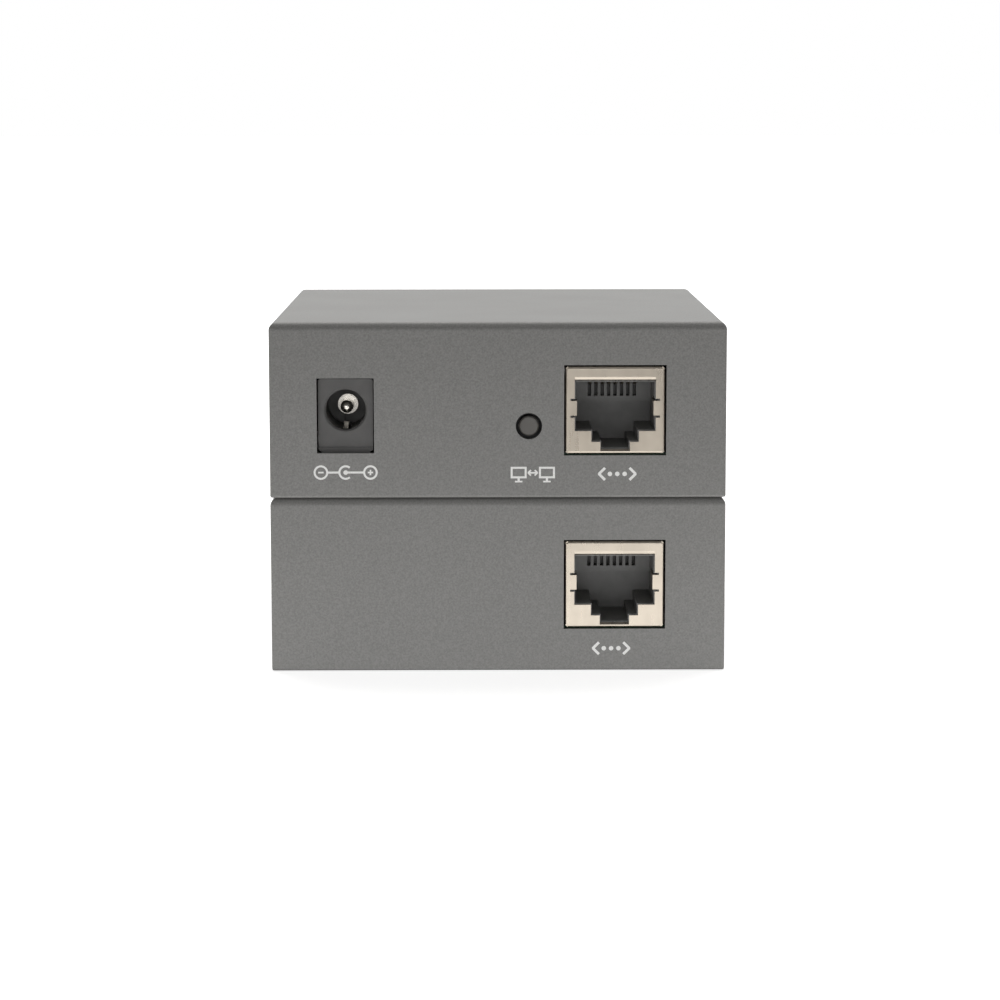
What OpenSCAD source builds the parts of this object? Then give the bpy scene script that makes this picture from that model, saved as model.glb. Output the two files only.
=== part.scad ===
// A pair of small folded steel boxes that carry a picture signal along a network lead.
// The receiver lies underneath and the transmitter stands on it, network sockets towards -Y.
// Lengths are in millimetres. The origin is the middle of the underside of the pair.

/* [Case] */
// Width of one box
unit_w = 71; // [70:0.5:80]
// Depth of one box
unit_d = 75; // [73:0.5:90]
// Height of one box
unit_h = 27.4; // [26.4:0.1:34]
// Thickness of the folded steel sheet
sheet = 1; // [0.8:0.05:1.2]
// Outer radius of the folds round the top
fold_r = 1.3; // [1.25:0.05:2]
// Radius of the four upright corners
corner_r = 0.4; // [0.2:0.05:0.8]
// Radius of the lower edge of the walls
rim_r = 0.4; // [0.2:0.05:0.6]

/* [Base plate and circuit board] */
// Thickness of the base plate
plate_t = 1; // [0.8:0.1:1.4]
// Length of the pillars that carry the circuit board
pillar_h = 4.2; // [3.6:0.1:5]
// Thickness of the circuit board
board_t = 1.6; // [1.2:0.1:2]
// Space between the circuit board and each side wall
board_side_gap = 1.5; // [1.4:0.1:2]
// Space between the circuit board and each end wall
board_end_gap = 0.8; // [0.5:0.1:1.2]
// Radius of the screws' shanks
screw_r = 1; // [0.9:0.05:1.1]

/* [Places of the ports] */
// From the inside of the right-hand wall to the middle of the network socket
network_from_side = 16.3; // [16:0.1:17]
// From the inside of the left-hand wall to the middle of the power socket
power_from_side = 10.8; // [10.5:0.1:12]
// From the middle of the network socket to the middle of the button
button_from_network = 13.4; // [13:0.1:16]
// Distance between the middles of the transmitter's two video sockets
video_spacing = 18.5; // [17.5:0.1:19]

/* [Network socket] */
// Width of the screening can
net_w = 15.5; // [15:0.1:15.9]
// Height of the screening can
net_h = 13.7; // [13.4:0.1:14.2]
// Depth of the screening can
net_d = 21; // [20.5:0.1:22]
// How far the can's face lies behind the wall's face
net_recess = 0.1; // [0.05:0.05:0.5]
// Width of the can's frame beside the mouth
net_frame = 1.45; // [1.35:0.05:1.6]
// Height of the can's frame over the mouth
net_brow = 2.3; // [2.1:0.1:2.6]
// Height of the mouth's floor over the board
net_floor = 3.6; // [3.5:0.1:3.9]
// Distance from one contact wire to the next
net_pitch = 1.02; // [0.95:0.01:1.1]

/* [Power socket] */
// Width of the power socket
dc_w = 8.5; // [8.4:0.1:9.2]
// Height of the power socket
dc_h = 11.3; // [10.9:0.1:11.8]
// Height of the plug hole over the board
dc_rise = 6.9; // [6.8:0.05:7.1]
// Radius of the plug hole
dc_bore_r = 3.15; // [3:0.05:3.25]
// Radius of the centre pin
dc_pin_r = 1; // [0.9:0.05:1.25]

/* [Button] */
// Radius of the button's cap
button_r = 1.55; // [1.4:0.05:1.65]
// Height of the button over the board
button_rise = 4.4; // [4.2:0.1:5]
// How far the button travels
button_travel = 0.3; // [0.2:0.05:0.4]
// How far the cap lies behind the wall's face
button_recess = 0.35; // [0.1:0.05:0.6]

/* [Video socket] */
// Inner width of the video socket
video_w = 14; // [13.8:0.1:14.2]
// Inner height of the video socket
video_h = 4.55; // [4.4:0.05:4.7]
// Depth of the video socket
video_d = 11.2; // [10.5:0.1:12]

/* [Remote-control socket and lamps] */
// Radius of the remote-control plug's hole
remote_bore_r = 1.8; // [1.75:0.05:1.85]
// Radius of an indicator lamp
lamp_r = 1.5; // [1.4:0.05:1.6]
// Distance between the two lamps
lamp_pitch = 6; // [5.5:0.1:6.5]

/* [Fits] */
// Gap round a socket in its hole in the wall
port_gap = 0.2; // [0.1:0.05:0.3]
// Gap between the inside of a wall and the face of a socket
seat_gap = 0.15; // [0.1:0.05:0.25]
// Gap round the base plate
plate_gap = 0.15; // [0.1:0.05:0.25]
// Gap round a part that slides or is pressed in
snug = 0.05; // [0.03:0.01:0.08]

/* [Hidden] */
$fn = 48;

// How far every cut runs past the face that it opens
overrun = 0.5;

// Colours
paint = [0.46, 0.46, 0.45];
steel = [0.72, 0.71, 0.69];
tin = [0.8, 0.77, 0.72];
gold = [0.83, 0.66, 0.3];
black = [0.13, 0.13, 0.13];
grey_plastic = [0.33, 0.33, 0.32];
board_green = [0.08, 0.3, 0.17];
aluminium = [0.78, 0.79, 0.8];

// The case: inner faces, flaps behind the upright corners, tabs for the base screws
front_in = -unit_d / 2 + sheet;
rear_in = unit_d / 2 - sheet;
side_in = unit_w / 2 - sheet;
inner_fold_r = fold_r - sheet;
flap_l = 7;
flap_gap = 2;
seam_w = 0.15;
seam_deep = 0.3;
tab_w = 9;
tab_reach = 6;
tab_inset = 10;
tab_corner_r = 1.2;
tab_x = side_in - tab_reach / 2;
tab_y = rear_in - tab_inset;

// Screws, their holes and the pillars
thread_gap = 0.05;
hole_gap = 0.1;
head_sink = 0.05;
case_screw_l = 3.6;
cross_w = 0.5;
cross_deep = 0.6;
cross_l_share = 0.62;
pillar_r = 2.4;
spigot_r = 1.7;
spigot_short = 0.15;
pan_r = 2.2;
pan_side_h = 0.8;
pan_top_h = 0.5;
pan_top_r = 1.6;
board_screw_reach = 3;

// The circuit board
board_bottom = plate_t + pillar_h;
board_top = board_bottom + board_t;
board_w = 2 * (side_in - board_side_gap);
board_d = 2 * (rear_in - board_end_gap);
board_corner_r = 1;
pillar_inset_x = 4;
pillar_inset_y = 16.7;
pillar_x = board_w / 2 - pillar_inset_x;
pillar_y = board_d / 2 - pillar_inset_y;
tail_drop = 0.9;
pin_gap = 0.15;

// The network socket: can, stepped mouth, comb and contact wires
net_skin = 0.25;
net_corner_r = 0.7;
net_bend_r = 0.45;
net_notch = 0.45;
net_notch_d = 0.4;
net_sill_deep = 0.15;
net_mouth_w = net_w - 2 * net_frame;
net_roof = net_h - net_brow;
net_step_w = 7.4;
net_step_drop = 1.7;
net_latch_w = 4.6;
net_latch_drop = 1.1;
net_step = net_floor - net_step_drop;
net_latch = net_step - net_latch_drop;
net_lip_r = 0.7;
net_strip = 2.5;
net_inset = 0.15;
net_back = 8.4;
net_cavity_d = net_d - net_back;
slit_h = 0.35;
slit_l = 0.65;
finger_low_share = 0.31;
finger_h = 2.3;
finger_in = 0.25;
finger_bow = 0.1;
finger_l = 6;
finger_t = 0.2;
finger_gap = 0.2;
comb_d = 1.4;
comb_drop = 4.35;
comb_slot_drop = 3.5;
comb_slot_w = 0.55;
comb_slot_extra = 0.8;
roof_slot_front = 2.2;
roof_slot_h = 0.6;
net_wires = 8;
wire_w = 0.35;
wire_t = 0.3;
wire_rise = 0.9;
wire_front = 2.7;
wire_turn_r = 0.5;
wire_tip_back = 1;
wire_tip_y = net_cavity_d - wire_tip_back;
wire_tip_drop = 1.55;
wire_tail_back = 5.5;
wire_tail_y = net_d - wire_tail_back;
wire_tail_step = 2;
net_peg_back = 10;
net_peg_y = net_d - net_peg_back;
net_peg_w = 1.4;
net_post_r = 1.6;
net_post_x = 5.3;
net_post_back = 12.1;
net_post_y = net_d - net_post_back;

// The power socket: flange, barrel, centre pin and leaf spring
dc_flange_d = 3.4;
dc_lift = 0.4;
dc_d = 14;
dc_corner_r = 0.4;
dc_wall = 0.95;
dc_barrel_r = dc_bore_r + dc_wall;
dc_base_inset = 0.5;
dc_line_z = 0.6;
dc_line_h = 0.2;
dc_line_deep = 0.15;
dc_bore_d = 9.2;
dc_mouth_bevel = 0.25;
dc_pin_tip = 3.5;
dc_collar_r = 1.6;
dc_collar_t = 0.8;
dc_tail_w = 2;
dc_tail_t = 0.5;
dc_leaf_w = 0.8;
dc_leaf_t = 0.3;
dc_leaf_gap = 0.25;
dc_leaf_back = 9.6;
dc_leaf_knee_z = 2.2;
dc_leaf_knee_y = 8.8;
dc_leaf_bend = 1;
dc_leaf_peak_y = 3;
dc_leaf_peak = 0.85;
dc_leaf_tip_y = 0.9;
dc_slot_front = 0.5;
dc_slot_back = 10.3;

// The push switch behind the button
switch_w = 6;
switch_d = 3.1;
switch_front = 1.9;
cover_t = 0.3;
button_fit = 0.12;
button_flange_r = 2.15;
button_flange_t = 0.7;
button_bevel = 0.2;
button_hole_gap = 0.5;
dome_r = 2;
dome_h = 0.3;
dome_t = 0.08;
dome_play = 0.05;
switch_leg_w = 1.2;
switch_pin_w = 0.6;
switch_pin_x = 1.6;
switch_well_d = button_flange_t + button_travel + dome_play + dome_h + dome_t;

// The video socket: shell, tongue and contacts
video_skin = 0.3;
video_rise = 0.5;
video_side_h = 2.7;
video_low_w = 10.9;
video_flare = 0.35;
video_flare_d = 0.35;
video_window_w = 2.2;
video_window_l = 5;
video_window_x = 3.4;
video_window_y = 2.4;
video_leaf_w = 1.4;
video_leaf_l = 4.4;
video_leg_w = 1;
video_leg_front = 2.2;
video_leg_back = 8.2;
tongue_w = 11.2;
tongue_t = 1.15;
tongue_front = 1.2;
tongue_root = 7.2;
video_pitch = 1;
video_wires = 10;
video_wire_w = 0.3;
video_wire_t = 0.15;
video_wire_front = 1.7;
video_wire_proud = 0.03;
video_wire_out = 0.6;
video_foot_l = 0.9;
video_mid = video_rise + video_h / 2;
video_full_w = video_w + 2 * (video_skin + video_flare);

// The remote-control socket
remote_w = 6.4;
remote_h = 5.4;
remote_d = 12;
remote_nose_r = 2.6;
remote_nose_d = 1.4;
remote_bore_d = 11;
remote_rise = 2.75;
remote_window_w = 1.6;
remote_window_h = 2;
remote_window_y = 4.5;
remote_window_l = 5.5;
remote_leaf_t = 0.25;
remote_leaf_h = 1.4;
remote_leaf_in = 0.25;
remote_tail_w = 0.8;
remote_full_w = remote_w + 2 * (remote_leaf_t + snug);

// The indicator lamps
lamp_rise = 2.9;
lamp_l = 3.6;
lamp_collar_r = 1.85;
lamp_collar_t = 0.9;
lamp_lead_w = 0.45;
lamp_lead_x = 0.75;
lamp_lead_l = 1.6;
lamps_full_w = lamp_pitch + 2 * lamp_collar_r;

// Middles of the sockets. The space left on the rear is shared out between them.
network_x = side_in - network_from_side;
power_x = power_from_side - side_in;
button_x = network_x - button_from_network;
rear_space = 2 * (side_in - sheet) - video_spacing - video_full_w - remote_full_w
    - lamps_full_w;
rear_space_shares = [0.265, 0.23, 0.19, 0.315];
video_x = side_in - sheet - rear_space_shares[0] * rear_space - video_full_w / 2;
loop_x = video_x - video_spacing;
remote_x = loop_x - video_full_w / 2 - rear_space_shares[1] * rear_space - remote_full_w / 2;
lamp_x = remote_x - remote_full_w / 2 - rear_space_shares[2] * rear_space - lamp_collar_r;

// Parts on the circuit board
chip_w = 14;
chip_t = 1.1;
chip_mark_r = 0.6;
chip_mark_deep = 0.1;
chip_mark_inset = 1.6;
chip_y = 4;
pad_w = 12.5;
pad_t = 0.5;
sink_w = 15;
sink_base_t = 1.4;
sink_h = 6;
sink_fins = 6;
sink_fin_t = 1;
coil_w = 15.2;
coil_d = 7.4;
coil_h = 5.6;
coil_foot = 0.4;
coil_behind = 1.5;
coil_pitch = 1.27;
coil_leads = 10;
coil_lead_w = 0.45;
coil_lead_t = 0.25;
coil_lead_out = 1;
coil_lead_z = 2.2;
coil_ridge = 0.3;
can_r = 3.15;
can_h = 7;
can_base_w = 6.6;
can_base_h = 1.1;
can_groove = 0.25;
can_groove_z = 1.8;
can_x = (power_x + button_x) / 2;
can_inset = 7.5;
can_step = 8;
choke_w = 7;
choke_h = 4;
choke_r = 2.7;
choke_gap = 0.6;
choke_from_side = 12.5;
choke_x = choke_from_side - side_in;
choke_y = -11;
choke_step = 9;
crystal_w = 4.6;
crystal_l = 11;
crystal_h = 3.4;
crystal_foot = 0.35;
crystal_foot_w = 0.5;
crystal_gap = 3.2;
crystal_x = -(sink_w + crystal_w) / 2 - crystal_gap;
crystal_y = 7.5;
ram_x = choke_x;
ram_y = 17.5;
ram_w = 6;
ram_t = 0.9;
flash_x = 12;
flash_y = 16.5;
flash_w = 5;
flash_l = 4;
bead_w = 0.8;
bead_l = 1.6;
bead_h = 0.75;
bead_step = 2.4;
bead_rows = 2;
beads_in_row = 6;
bead_x = -6;
bead_y = 13.5;

// Shared geometry

function unit(v) = v / norm(v);

function left_of(v) = [-v[1], v[0]];

// How far a corner between two directions moves when both sides move by g to the left
function mitre(a, b, g) =
    let (m = left_of(a) + left_of(b))
    m * 2 * g / (m * m);

// The outline of a bent strip of thickness t whose middle line is path
function strip_outline(path, t) =
    let (last = len(path) - 1,
        run = [for (i = [0:last - 1]) unit(path[i + 1] - path[i])],
        shift = [for (i = [0:last]) mitre(run[max(i - 1, 0)], run[min(i, last - 1)], t / 2)])
    concat([for (i = [0:last]) path[i] + shift[i]],
        [for (i = [last:-1:0]) path[i] - shift[i]]);

// A closed outline, drawn counter-clockwise, moved outwards by g on every side
function grown(loop, g) =
    let (n = len(loop))
    [for (i = [0:n - 1])
        loop[i] + mitre(unit(loop[i] - loop[(i + n - 1) % n]),
            unit(loop[(i + 1) % n] - loop[i]), -g)];

function arc(middle, r, from, to, steps) =
    [for (i = [0:steps])
        let (a = from + (to - from) * i / steps)
        middle + r * [cos(a), sin(a)]];

// An upright outline, x and z, drawn out towards +Y
module along_y(depth) {
    translate([0, depth, 0])
        rotate([90, 0, 0])
            linear_extrude(depth)
                children();
}

// A side outline, y and z, drawn out both ways from x = 0
module along_x(width) {
    rotate([90, 0, 90])
        linear_extrude(width, center = true)
            children();
}

module strip(path, t, width) {
    along_x(width)
        polygon(strip_outline(path, t));
}

module corner_waste(r) {
    difference() {
        square([r + overrun, r + overrun]);
        circle(r);
    }
}

// A rectangle standing on y = 0, with its upper and lower corners rounded
module round_outline(w, h, top_r, low_r) {
    difference() {
        translate([-w / 2, 0])
            square([w, h]);
        for (side = [0, 1])
            mirror([side, 0]) {
                if (top_r > 0)
                    translate([w / 2 - top_r, h - top_r])
                        corner_waste(top_r);
                if (low_r > 0)
                    translate([w / 2 - low_r, low_r])
                        mirror([0, 1])
                            corner_waste(low_r);
            }
    }
}

module round_plan(w, d, r) {
    translate([0, -d / 2])
        round_outline(w, d, r, r);
}

module block(w, d, h, x = 0, y = 0, z = 0) {
    translate([x - w / 2, y, z])
        cube([w, d, h]);
}

module rod(r, length, y = 0, z = 0) {
    translate([0, y, z])
        rotate([-90, 0, 0])
            cylinder(r = r, h = length);
}

module taper(r_front, r_back, length, y = 0, z = 0) {
    translate([0, y, z])
        rotate([-90, 0, 0])
            cylinder(r1 = r_front, r2 = r_back, h = length);
}

module both_sides() {
    children();
    mirror([1, 0, 0])
        children();
}

module four_places(x, y) {
    for (sx = [-1, 1], sy = [-1, 1])
        translate([sx * x, sy * y, 0])
            children();
}

// Level 0 is the receiver, level 1 the transmitter on top of it
module level(n) {
    translate([0, 0, n * unit_h])
        children();
}

// A socket's own place: its face at y = 0, the board's upper face at z = 0
module at_front(x) {
    translate([x, front_in + seat_gap, board_top])
        children();
}

// The network socket reaches forward through its hole in the wall
module at_network() {
    translate([0, net_recess - sheet - seat_gap, 0])
        at_front(network_x)
            children();
}

module at_rear(x) {
    translate([x, rear_in - seat_gap, board_top])
        rotate([0, 0, 180])
            children();
}

// A cut from outside the wall to just inside it, in a socket's own place
module wall_cut(w, h, z) {
    block(w + 2 * port_gap, sheet + seat_gap + 2 * overrun, h + 2 * port_gap,
        y = -sheet - seat_gap - overrun, z = z - port_gap);
}

module round_wall_cut(r, z) {
    rod(r, sheet + seat_gap + 2 * overrun, y = -sheet - seat_gap - overrun, z = z);
}

// Case

module case_form() {
    intersection() {
        translate([0, -unit_d / 2, 0])
            along_y(unit_d)
                round_outline(unit_w, unit_h, fold_r, rim_r);
        along_x(unit_w)
            round_outline(unit_d, unit_h, fold_r, rim_r);
        linear_extrude(unit_h)
            round_plan(unit_w, unit_d, corner_r);
    }
}

module case_cavity() {
    translate([0, 0, -overrun])
        intersection() {
            translate([0, front_in, 0])
                along_y(rear_in - front_in)
                    round_outline(2 * side_in, unit_h - sheet + overrun, inner_fold_r, 0);
            along_x(2 * side_in)
                round_outline(rear_in - front_in, unit_h - sheet + overrun, inner_fold_r, 0);
        }
}

// Flaps folded in from the end walls and spot-welded behind the side walls
module corner_flaps() {
    for (side = [0, 1])
        mirror([side, 0, 0])
            for (end = [0, 1])
                mirror([0, end, 0])
                    translate([side_in - sheet, rear_in - flap_l, plate_t + flap_gap])
                        cube([sheet, flap_l, unit_h - fold_r - plate_t - 2 * flap_gap]);
}

module fixing_tabs() {
    for (side = [0, 1])
        mirror([side, 0, 0])
            for (end = [0, 1])
                mirror([0, end, 0])
                    translate([tab_x, tab_y, plate_t])
                        difference() {
                            linear_extrude(sheet)
                                union() {
                                    round_plan(tab_reach, tab_w, tab_corner_r);
                                    translate([0, -tab_w / 2])
                                        square([tab_reach / 2, tab_w]);
                                }
                            translate([0, 0, -overrun])
                                cylinder(r = screw_r + thread_gap, h = sheet + 2 * overrun);
                        }
}

// The hairline on each side wall where it meets the edge of an end wall
module side_seams() {
    for (side = [0, 1])
        mirror([side, 0, 0])
            for (end = [0, 1])
                mirror([0, end, 0])
                    translate([unit_w / 2 - seam_deep, rear_in - seam_w / 2, -overrun])
                        cube([seam_deep + overrun, seam_w, unit_h - fold_r + overrun]);
}

// The five-sided box. Its children are the cuts for the ports.
module case_shell() {
    difference() {
        union() {
            difference() {
                case_form();
                case_cavity();
            }
            corner_flaps();
            fixing_tabs();
        }
        side_seams();
        children();
    }
}

module base_plate() {
    difference() {
        linear_extrude(plate_t)
            round_plan(2 * (side_in - plate_gap), rear_in - front_in - 2 * plate_gap, corner_r);
        four_places(tab_x, tab_y)
            cylinder(r1 = screw_r + plate_t + hole_gap, r2 = screw_r + hole_gap, h = plate_t);
        four_places(pillar_x, pillar_y)
            translate([0, 0, -overrun])
                cylinder(r = spigot_r + snug, h = plate_t + 2 * overrun);
    }
}

module cross_recess(r, deep) {
    for (turn = [0, 90])
        rotate([0, 0, turn])
            translate([-r * cross_l_share, -cross_w / 2, 0])
                cube([2 * r * cross_l_share, cross_w, deep]);
}

module case_screw() {
    difference() {
        union() {
            translate([0, 0, head_sink])
                cylinder(r1 = screw_r + plate_t - head_sink, r2 = screw_r, h = plate_t - head_sink);
            translate([0, 0, plate_t])
                cylinder(r = screw_r, h = case_screw_l - plate_t);
        }
        translate([0, 0, -overrun])
            cross_recess(screw_r + plate_t, overrun + head_sink + cross_deep);
    }
}

// A pillar pressed into the base plate, with a tapped hole
module pillar() {
    difference() {
        union() {
            translate([0, 0, plate_t])
                cylinder(r = pillar_r, h = pillar_h);
            translate([0, 0, spigot_short])
                cylinder(r = spigot_r, h = plate_t - spigot_short);
        }
        translate([0, 0, board_bottom - board_screw_reach - overrun])
            cylinder(r = screw_r + thread_gap, h = board_screw_reach + 2 * overrun);
    }
}

module board_screw() {
    difference() {
        union() {
            translate([0, 0, board_bottom - board_screw_reach])
                cylinder(r = screw_r, h = board_screw_reach + board_t);
            translate([0, 0, board_top])
                cylinder(r = pan_r, h = pan_side_h);
            translate([0, 0, board_top + pan_side_h])
                cylinder(r1 = pan_r, r2 = pan_top_r, h = pan_top_h);
        }
        translate([0, 0, board_top + pan_side_h + pan_top_h - cross_deep])
            cross_recess(pan_r, cross_deep + overrun);
    }
}

// Network socket, in its own place

// The stepped mouth: wide for the plug, narrower for its latch
function net_mouth(roof) = [
    [-net_mouth_w / 2, roof], [-net_mouth_w / 2, net_floor], [-net_step_w / 2, net_floor],
    [-net_step_w / 2, net_step], [-net_latch_w / 2, net_step], [-net_latch_w / 2, net_latch],
    [net_latch_w / 2, net_latch], [net_latch_w / 2, net_step], [net_step_w / 2, net_step],
    [net_step_w / 2, net_floor], [net_mouth_w / 2, net_floor], [net_mouth_w / 2, roof]];

finger_z = net_floor + finger_low_share * (net_roof - net_floor);

// The rolled edge over the mouth
module net_lip() {
    translate([0, net_lip_r, net_roof + net_lip_r])
        along_x(net_mouth_w)
            intersection() {
                difference() {
                    circle(net_lip_r);
                    circle(net_lip_r - net_skin);
                }
                translate([-net_lip_r - overrun, -net_lip_r - overrun])
                    square(net_lip_r + overrun);
            }
}

// A spring finger, cut free by two slits and bent into the mouth
module net_finger() {
    edge = net_mouth_w / 2;
    translate([0, 0, finger_z])
        linear_extrude(finger_h)
            polygon(strip_outline([
                [edge + slit_l / 2, finger_t / 2],
                [edge - finger_in, finger_t / 2],
                [edge - finger_in - finger_bow, finger_l / 2],
                [edge - finger_in + finger_bow, finger_l]], finger_t));
}

module net_slits() {
    for (z = [finger_z - slit_h, finger_z + finger_h])
        translate([net_mouth_w / 2 - overrun, -overrun, z])
            cube([slit_l + overrun, net_skin + 2 * overrun, slit_h]);
}

module net_side_outline(d, h, r) {
    difference() {
        square([d, h]);
        translate([r, h - r])
            mirror([1, 0])
                corner_waste(r);
        translate([r, r])
            rotate(180)
                corner_waste(r);
    }
}

// The can, moved inwards by inset: each of its sides turns into the front face with a bend
module net_form(inset) {
    w = net_w - 2 * inset;
    d = net_d - 2 * inset;
    h = net_h - 2 * inset;
    translate([0, inset, inset])
        intersection() {
            along_y(d)
                round_outline(w, h, net_corner_r - inset, net_corner_r - inset);
            linear_extrude(h)
                round_outline(w, d, 0, net_bend_r - inset);
            along_x(w)
                net_side_outline(d, h, net_bend_r - inset);
        }
}

// The open corners where the folded sides meet
module net_notches() {
    for (z = [-overrun, net_h - net_notch])
        translate([net_w / 2 - net_notch, -overrun, z])
            cube([net_notch + overrun, net_notch_d + overrun, net_notch + overrun]);
}

module network_shield() {
    difference() {
        net_form(0);
        net_form(net_skin);
        translate([0, -overrun, 0])
            along_y(net_skin + 2 * overrun)
                polygon(net_mouth(net_roof + net_lip_r));
        block(net_w - 2 * net_corner_r, net_d - net_strip - net_skin, net_skin + 2 * overrun,
            y = net_strip, z = -overrun);
        along_x(net_latch_w)
            polygon([[-overrun, net_bend_r], [0, net_bend_r], [net_sill_deep, net_latch],
                [net_sill_deep, net_latch + snug], [-overrun, net_latch + snug]]);
        both_sides() {
            net_slits();
            net_notches();
        }
    }
    net_lip();
    both_sides() {
        net_finger();
        block(net_skin, net_peg_w, board_t + tail_drop + net_corner_r,
            x = (net_w - net_skin) / 2, y = net_peg_y, z = -board_t - tail_drop);
    }
}

function net_wire_path(i) =
    let (tail_y = wire_tail_y + (i % 2) * wire_tail_step,
        top = net_roof + wire_rise,
        turn = [wire_front + wire_turn_r, top - wire_turn_r])
    concat([[tail_y, -board_t - tail_drop], [tail_y, top]],
        arc(turn, wire_turn_r, 90, 255, 6),
        [[wire_tip_y, net_roof - wire_tip_drop]]);

module net_wire_set(t, w) {
    for (i = [0:net_wires - 1])
        translate([(i - (net_wires - 1) / 2) * net_pitch, 0, 0])
            strip(net_wire_path(i), t, w);
}

module network_contacts() {
    net_wire_set(wire_t, wire_w);
}

module net_cavity() {
    difference() {
        translate([0, -overrun, 0])
            along_y(net_cavity_d + overrun)
                polygon(grown(net_mouth(net_roof), -net_inset));
        block(net_mouth_w, comb_d + overrun, comb_drop, y = net_cavity_d - comb_d,
            z = net_roof - comb_drop);
    }
    for (i = [0:net_wires - 1]) {
        x = (i - (net_wires - 1) / 2) * net_pitch;
        block(comb_slot_w, comb_d + comb_slot_extra + snug, comb_slot_drop, x = x,
            y = net_cavity_d - comb_d - snug, z = net_roof - comb_slot_drop);
        block(comb_slot_w, net_cavity_d + comb_slot_extra - roof_slot_front,
            roof_slot_h + net_inset + snug, x = x, y = roof_slot_front,
            z = net_roof - net_inset - snug);
    }
}

module network_insert() {
    wall = net_skin + snug;
    difference() {
        union() {
            translate([0, net_bend_r, wall])
                along_y(net_d - net_bend_r - wall)
                    round_outline(net_w - 2 * wall, net_h - 2 * wall,
                        net_corner_r - net_skin, net_corner_r - net_skin);
            both_sides()
                translate([net_post_x, net_post_y, -board_t])
                    cylinder(r = net_post_r, h = board_t + wall + snug);
        }
        net_cavity();
        block(net_mouth_w + 2 * snug, net_lip_r + snug + overrun, net_lip_r + net_inset + snug,
            y = -overrun, z = net_roof - net_inset);
        both_sides()
            translate([net_mouth_w / 2 - finger_in - finger_bow - finger_t, -overrun,
                finger_z - finger_gap])
                cube([finger_in + finger_bow + 2 * finger_t + finger_gap,
                    finger_l + finger_gap + overrun, finger_h + 2 * finger_gap]);
        net_wire_set(wire_t + 2 * snug, wire_w + 2 * snug);
    }
}

module network_cut() {
    at_front(network_x)
        wall_cut(net_w, net_h, 0);
}

// Power socket, in its own place

module power_housing() {
    difference() {
        union() {
            translate([0, 0, dc_lift])
                along_y(dc_flange_d)
                    round_outline(dc_w, dc_h, dc_corner_r, dc_corner_r);
            rod(dc_barrel_r, dc_d, z = dc_rise);
            block(dc_w - 2 * dc_base_inset, dc_d, dc_rise);
        }
        rod(dc_bore_r, dc_bore_d + overrun, y = -overrun, z = dc_rise);
        taper(dc_bore_r + dc_mouth_bevel, dc_bore_r, dc_mouth_bevel, z = dc_rise);
        rod(dc_pin_r + snug, dc_d, y = dc_bore_d - overrun, z = dc_rise);
        block(dc_w + 2 * overrun, dc_line_deep + overrun, dc_line_h, y = -overrun,
            z = dc_lift + dc_line_z);
        block(dc_leaf_w + 2 * dc_leaf_gap, dc_slot_back - dc_slot_front, dc_rise + overrun,
            y = dc_slot_front, z = -overrun);
    }
}

module power_pin() {
    rod(dc_pin_r, dc_d + dc_tail_t - dc_pin_tip - dc_pin_r, y = dc_pin_tip + dc_pin_r, z = dc_rise);
    translate([0, dc_pin_tip + dc_pin_r, dc_rise])
        sphere(dc_pin_r);
    rod(dc_collar_r, dc_collar_t, y = dc_bore_d - dc_collar_t, z = dc_rise);
    block(dc_tail_w, dc_tail_t, dc_rise + dc_tail_w / 2 + board_t + tail_drop, y = dc_d + snug,
        z = -board_t - tail_drop);
}

module power_spring() {
    bore_low = dc_rise - dc_bore_r;
    strip([[dc_leaf_back, -board_t - tail_drop], [dc_leaf_back, dc_leaf_knee_z],
        [dc_leaf_knee_y, dc_leaf_knee_z + dc_leaf_bend],
        [dc_leaf_peak_y, bore_low + dc_leaf_peak],
        [dc_leaf_tip_y, bore_low]], dc_leaf_t, dc_leaf_w);
}

module power_cut() {
    at_front(power_x)
        wall_cut(dc_w, dc_h, dc_lift);
}

// Push switch and its button, in their own place

module switch_body() {
    front = switch_front + cover_t;
    difference() {
        block(switch_w, switch_d, switch_w, y = front, z = button_rise - switch_w / 2);
        rod(button_flange_r + button_fit, switch_well_d + overrun, y = front - overrun,
            z = button_rise);
    }
    both_sides()
        block(switch_pin_w, cover_t, button_rise - switch_w / 2 + overrun + board_t + tail_drop,
            x = switch_pin_x, y = front + switch_d - cover_t, z = -board_t - tail_drop);
}

module switch_cover() {
    difference() {
        block(switch_w + 2 * cover_t, cover_t, switch_w, y = switch_front,
            z = button_rise - switch_w / 2);
        rod(button_r + button_fit, cover_t + 2 * overrun, y = switch_front - overrun,
            z = button_rise);
    }
    both_sides() {
        block(cover_t - snug, switch_d + cover_t, switch_w, x = (switch_w + cover_t + snug) / 2,
            y = switch_front, z = button_rise - switch_w / 2);
        block(cover_t - snug, switch_leg_w, switch_w + board_t + tail_drop,
            x = (switch_w + cover_t + snug) / 2, y = switch_front + (switch_d + cover_t) / 2,
            z = -board_t - tail_drop);
    }
}

// The snap dome on the floor of the switch's well
module switch_dome() {
    ball_r = (dome_r * dome_r + dome_h * dome_h) / (2 * dome_h);
    translate([0, switch_front + cover_t + switch_well_d, button_rise])
        rotate([90, 0, 0])
            rotate_extrude()
                intersection() {
                    translate([0, dome_h - ball_r])
                        difference() {
                            circle(ball_r + dome_t);
                            circle(ball_r);
                        }
                    translate([0, -overrun])
                        square([dome_r, dome_h + dome_t + 2 * overrun]);
                }
}

module set_button() {
    tip = -seat_gap - sheet + button_recess;
    flange_y = switch_front + cover_t + snug;
    taper(button_r - button_bevel, button_r, button_bevel, y = tip, z = button_rise);
    rod(button_r, flange_y - tip - button_bevel, y = tip + button_bevel, z = button_rise);
    rod(button_flange_r, button_flange_t - snug, y = flange_y, z = button_rise);
}

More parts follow.
